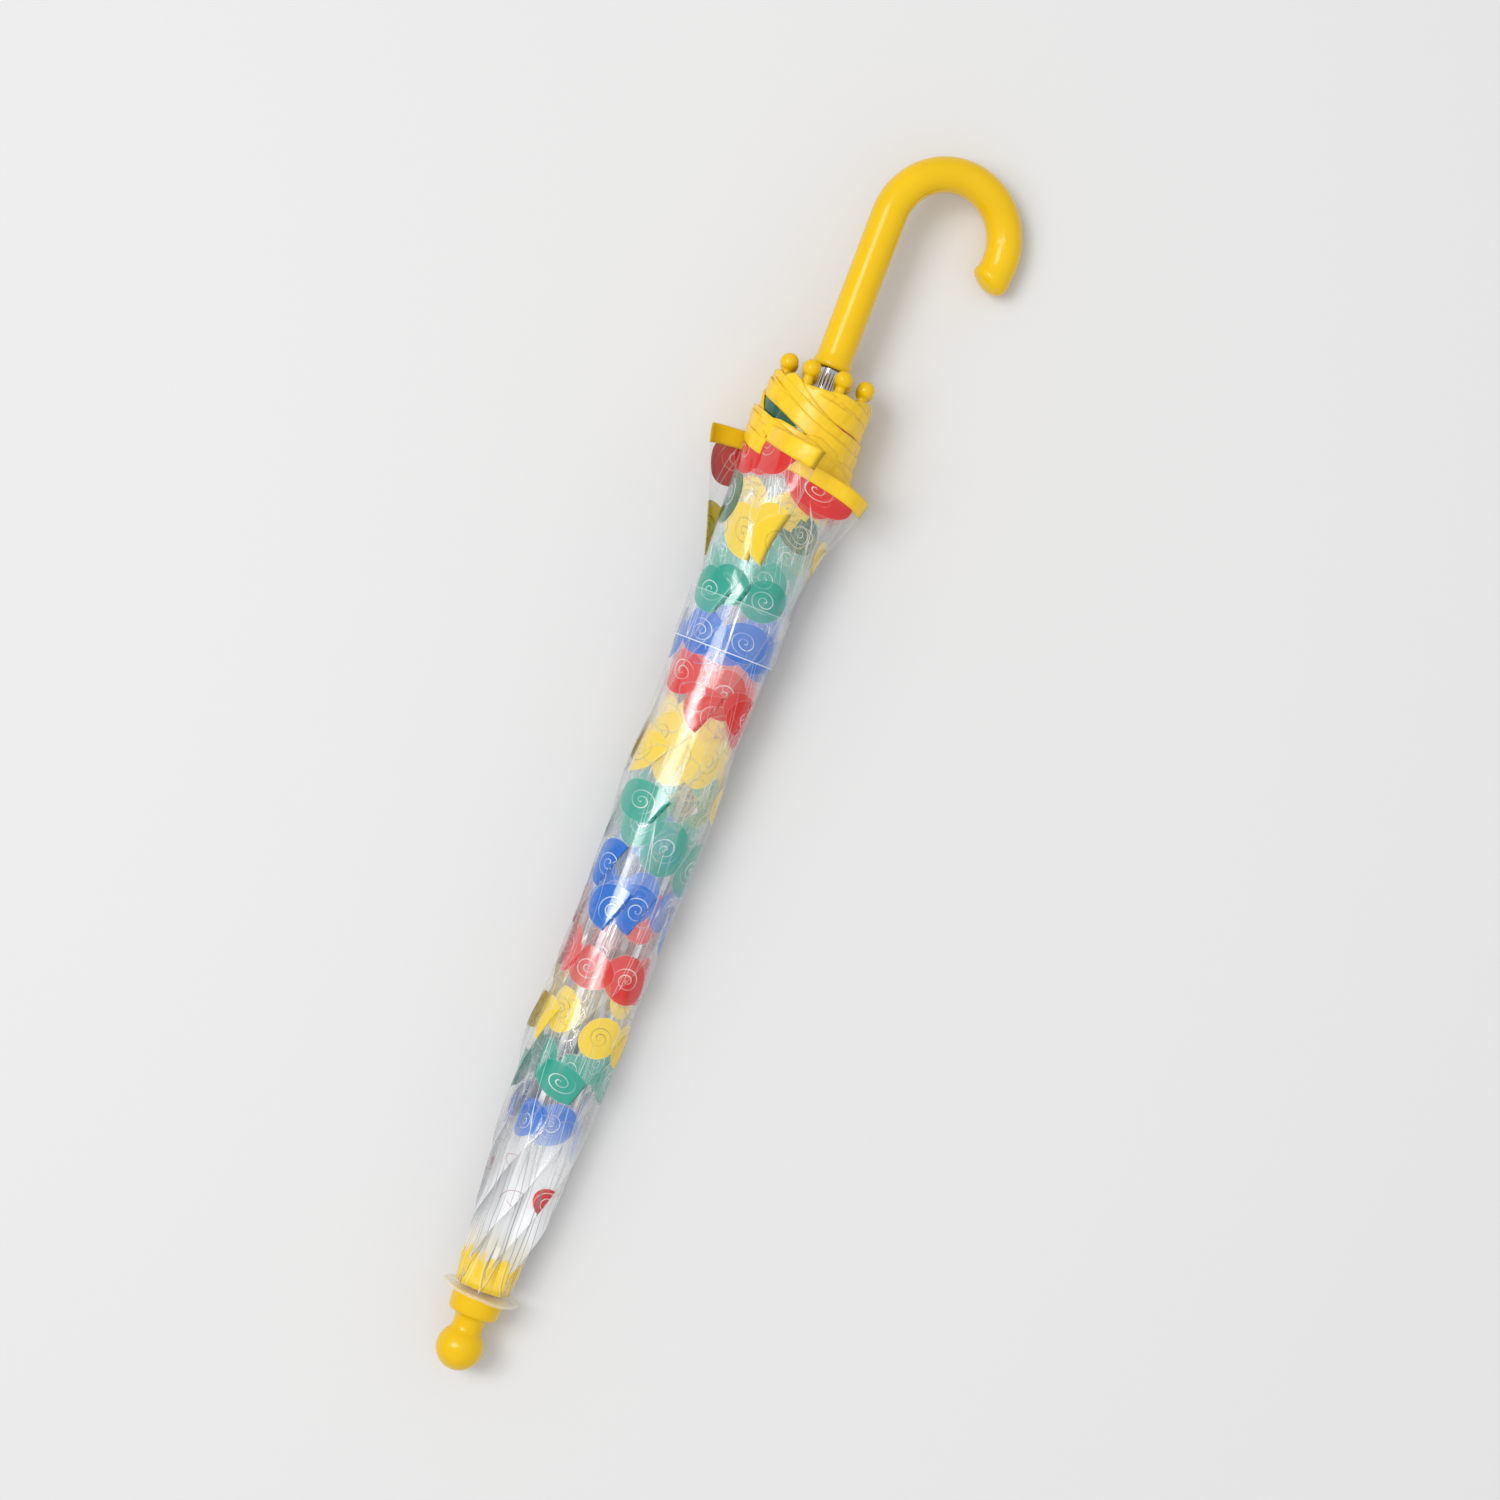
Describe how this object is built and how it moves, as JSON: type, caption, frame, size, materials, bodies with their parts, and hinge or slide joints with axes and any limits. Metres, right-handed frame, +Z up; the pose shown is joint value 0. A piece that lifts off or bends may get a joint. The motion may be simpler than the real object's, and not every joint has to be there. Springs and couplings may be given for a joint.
{
  "type": "children's umbrella",
  "caption": "Child's stick umbrella, closed and rolled, with a clear printed film canopy, yellow crook handle, ball ferrule and folding steel frame.",
  "frame": {"origin": "middle of the bounding box on the surface that the umbrella lies on", "axes": "+X along the shaft from the ball ferrule to the crook handle, tilted up 1 degree, +Z up; the crook bends towards -Y"},
  "size_m": [0.6384, 0.1104, 0.0704],
  "materials": {
    "chromed_steel": "bright chrome plate",
    "yellow_plastic": "smooth glossy moulded plastic",
    "clear_washer": "clear soft vinyl",
    "white_plastic": "satin moulded plastic",
    "plated_steel": "zinc plated, drawn along its length",
    "printed_film": "clear glossy vinyl film with printed spiral shells in red, blue, teal, green and yellow, and a yellow hem",
    "clear_film": "clear glossy vinyl film"
  },
  "bodies": {
    "shaft": {"shaft_tube": "chromed_steel", "ferrule": "yellow_plastic", "crown_washer": "clear_washer", "top_notch": "white_plastic", "top_notch_wire": "chromed_steel", "notch_pin": "chromed_steel", "stop_pin": "chromed_steel", "handle": "yellow_plastic"},
    "runner": {"runner": "white_plastic", "runner_wire": "chromed_steel"},
    "rib_1": {"rib_1": "plated_steel", "rib_rivet_1": "plated_steel", "rib_tip_1": "yellow_plastic", "canopy_panel_1": "printed_film", "tie_strap": "clear_film", "snap_stud": "white_plastic"},
    "stretcher_1": {"stretcher_1": "plated_steel"},
    "rib_2": {"rib_2": "plated_steel", "rib_rivet_2": "plated_steel", "rib_tip_2": "yellow_plastic", "canopy_panel_2": "printed_film"},
    "stretcher_2": {"stretcher_2": "plated_steel"},
    "rib_3": {"rib_3": "plated_steel", "rib_rivet_3": "plated_steel", "rib_tip_3": "yellow_plastic", "canopy_panel_3": "printed_film"},
    "stretcher_3": {"stretcher_3": "plated_steel"},
    "rib_4": {"rib_4": "plated_steel", "rib_rivet_4": "plated_steel", "rib_tip_4": "yellow_plastic", "canopy_panel_4": "printed_film"},
    "stretcher_4": {"stretcher_4": "plated_steel"},
    "rib_5": {"rib_5": "plated_steel", "rib_rivet_5": "plated_steel", "rib_tip_5": "yellow_plastic", "canopy_panel_5": "printed_film"},
    "stretcher_5": {"stretcher_5": "plated_steel"},
    "rib_6": {"rib_6": "plated_steel", "rib_rivet_6": "plated_steel", "rib_tip_6": "yellow_plastic", "canopy_panel_6": "printed_film"},
    "stretcher_6": {"stretcher_6": "plated_steel"},
    "rib_7": {"rib_7": "plated_steel", "rib_rivet_7": "plated_steel", "rib_tip_7": "yellow_plastic", "canopy_panel_7": "printed_film"},
    "stretcher_7": {"stretcher_7": "plated_steel"},
    "rib_8": {"rib_8": "plated_steel", "rib_rivet_8": "plated_steel", "rib_tip_8": "yellow_plastic", "canopy_panel_8": "printed_film"},
    "stretcher_8": {"stretcher_8": "plated_steel"},
    "top_catch": {"top_catch": "chromed_steel"},
    "bottom_catch": {"bottom_catch": "chromed_steel"},
    "strap_tab": {"strap_tab": "clear_film", "snap_cap": "white_plastic"}
  },
  "joints": [
    {"name": "runner_slide", "type": "slide", "parent": "shaft", "child": "runner", "axis": [-0.9998, 0, -0.0175], "range_m": [0, 0.23543]},
    {"name": "rib_1_fold", "type": "hinge", "parent": "shaft", "child": "rib_1", "pos_m": [-0.26955, 0.0205, 0.01648], "axis": [-0.0161, 0.3827, 0.9237], "range_deg": [0, 63.51], "deforming": ["canopy_panel_1", "tie_strap"]},
    {"name": "stretcher_1_fold", "type": "hinge", "parent": "rib_1", "child": "stretcher_1", "pos_m": [-0.06562, 0.02544, 0.018], "axis": [-0.0161, 0.3827, 0.9237], "range_deg": [-127.02, 0]},
    {"name": "rib_2_fold", "type": "hinge", "parent": "shaft", "child": "rib_2", "pos_m": [-0.26967, 0.0205, 0.02337], "axis": [-0.0161, -0.3827, 0.9237], "range_deg": [0, 63.51], "deforming": ["canopy_panel_2"]},
    {"name": "stretcher_2_fold", "type": "hinge", "parent": "rib_2", "child": "stretcher_2", "pos_m": [-0.06581, 0.02544, 0.02897], "axis": [-0.0161, -0.3827, 0.9237], "range_deg": [-127.02, 0]},
    {"name": "rib_3_fold", "type": "hinge", "parent": "shaft", "child": "rib_3", "pos_m": [-0.26976, 0.01563, 0.02824], "axis": [-0.0067, -0.9239, 0.3826], "range_deg": [0, 63.51], "deforming": ["canopy_panel_3"]},
    {"name": "stretcher_3_fold", "type": "hinge", "parent": "rib_3", "child": "stretcher_3", "pos_m": [-0.06595, 0.01768, 0.03673], "axis": [-0.0067, -0.9239, 0.3826], "range_deg": [-127.02, 0]},
    {"name": "rib_4_fold", "type": "hinge", "parent": "shaft", "child": "rib_4", "pos_m": [-0.26976, 0.00875, 0.02824], "axis": [0.0067, -0.9239, -0.3826], "range_deg": [0, 63.51], "deforming": ["canopy_panel_4"]},
    {"name": "stretcher_4_fold", "type": "hinge", "parent": "rib_4", "child": "stretcher_4", "pos_m": [-0.06595, 0.0067, 0.03673], "axis": [0.0067, -0.9239, -0.3826], "range_deg": [-127.02, 0]},
    {"name": "rib_5_fold", "type": "hinge", "parent": "shaft", "child": "rib_5", "pos_m": [-0.26967, 0.00387, 0.02337], "axis": [0.0161, -0.3827, -0.9237], "range_deg": [0, 63.51], "deforming": ["canopy_panel_5"]},
    {"name": "stretcher_5_fold", "type": "hinge", "parent": "rib_5", "child": "stretcher_5", "pos_m": [-0.06581, -0.00106, 0.02897], "axis": [0.0161, -0.3827, -0.9237], "range_deg": [-127.02, 0]},
    {"name": "rib_6_fold", "type": "hinge", "parent": "shaft", "child": "rib_6", "pos_m": [-0.26955, 0.00387, 0.01648], "axis": [0.0161, 0.3827, -0.9237], "range_deg": [0, 63.51], "deforming": ["canopy_panel_6"]},
    {"name": "stretcher_6_fold", "type": "hinge", "parent": "rib_6", "child": "stretcher_6", "pos_m": [-0.06562, -0.00106, 0.018], "axis": [0.0161, 0.3827, -0.9237], "range_deg": [-127.02, 0]},
    {"name": "rib_7_fold", "type": "hinge", "parent": "shaft", "child": "rib_7", "pos_m": [-0.26947, 0.00875, 0.01161], "axis": [0.0067, 0.9239, -0.3826], "range_deg": [0, 63.51], "deforming": ["canopy_panel_7"]},
    {"name": "stretcher_7_fold", "type": "hinge", "parent": "rib_7", "child": "stretcher_7", "pos_m": [-0.06548, 0.0067, 0.01024], "axis": [0.0067, 0.9239, -0.3826], "range_deg": [-127.02, 0]},
    {"name": "rib_8_fold", "type": "hinge", "parent": "shaft", "child": "rib_8", "pos_m": [-0.26947, 0.01563, 0.01161], "axis": [-0.0067, 0.9239, 0.3826], "range_deg": [0, 63.51], "deforming": ["canopy_panel_8"]},
    {"name": "stretcher_8_fold", "type": "hinge", "parent": "rib_8", "child": "stretcher_8", "pos_m": [-0.06548, 0.01768, 0.01024], "axis": [-0.0067, 0.9239, 0.3826], "range_deg": [-127.02, 0]},
    {"name": "top_catch_press", "type": "slide", "parent": "shaft", "child": "top_catch", "axis": [0.0175, 0, -0.9998], "range_m": [0, 0.0023], "stiffness_N_per_m": 400},
    {"name": "bottom_catch_press", "type": "slide", "parent": "shaft", "child": "bottom_catch", "axis": [0.0175, 0, -0.9998], "range_m": [0, 0.0023], "stiffness_N_per_m": 400},
    {"name": "strap_tab_peel", "type": "hinge", "parent": "rib_1", "child": "strap_tab", "pos_m": [0.06616, 0.03825, 0.01732], "axis": [0.9998, 0, 0.0175], "range_deg": [0, 70]}
  ],
  "couplings": [
    {"joint": "rib_1_fold", "follows": "runner_slide", "rad_per_m": 4.7074},
    {"joint": "stretcher_1_fold", "follows": "runner_slide", "rad_per_m": -9.4149},
    {"joint": "rib_2_fold", "follows": "runner_slide", "rad_per_m": 4.7074},
    {"joint": "stretcher_2_fold", "follows": "runner_slide", "rad_per_m": -9.4149},
    {"joint": "rib_3_fold", "follows": "runner_slide", "rad_per_m": 4.7074},
    {"joint": "stretcher_3_fold", "follows": "runner_slide", "rad_per_m": -9.4149},
    {"joint": "rib_4_fold", "follows": "runner_slide", "rad_per_m": 4.7074},
    {"joint": "stretcher_4_fold", "follows": "runner_slide", "rad_per_m": -9.4149},
    {"joint": "rib_5_fold", "follows": "runner_slide", "rad_per_m": 4.7074},
    {"joint": "stretcher_5_fold", "follows": "runner_slide", "rad_per_m": -9.4149},
    {"joint": "rib_6_fold", "follows": "runner_slide", "rad_per_m": 4.7074},
    {"joint": "stretcher_6_fold", "follows": "runner_slide", "rad_per_m": -9.4149},
    {"joint": "rib_7_fold", "follows": "runner_slide", "rad_per_m": 4.7074},
    {"joint": "stretcher_7_fold", "follows": "runner_slide", "rad_per_m": -9.4149},
    {"joint": "rib_8_fold", "follows": "runner_slide", "rad_per_m": 4.7074},
    {"joint": "stretcher_8_fold", "follows": "runner_slide", "rad_per_m": -9.4149}
  ]
}
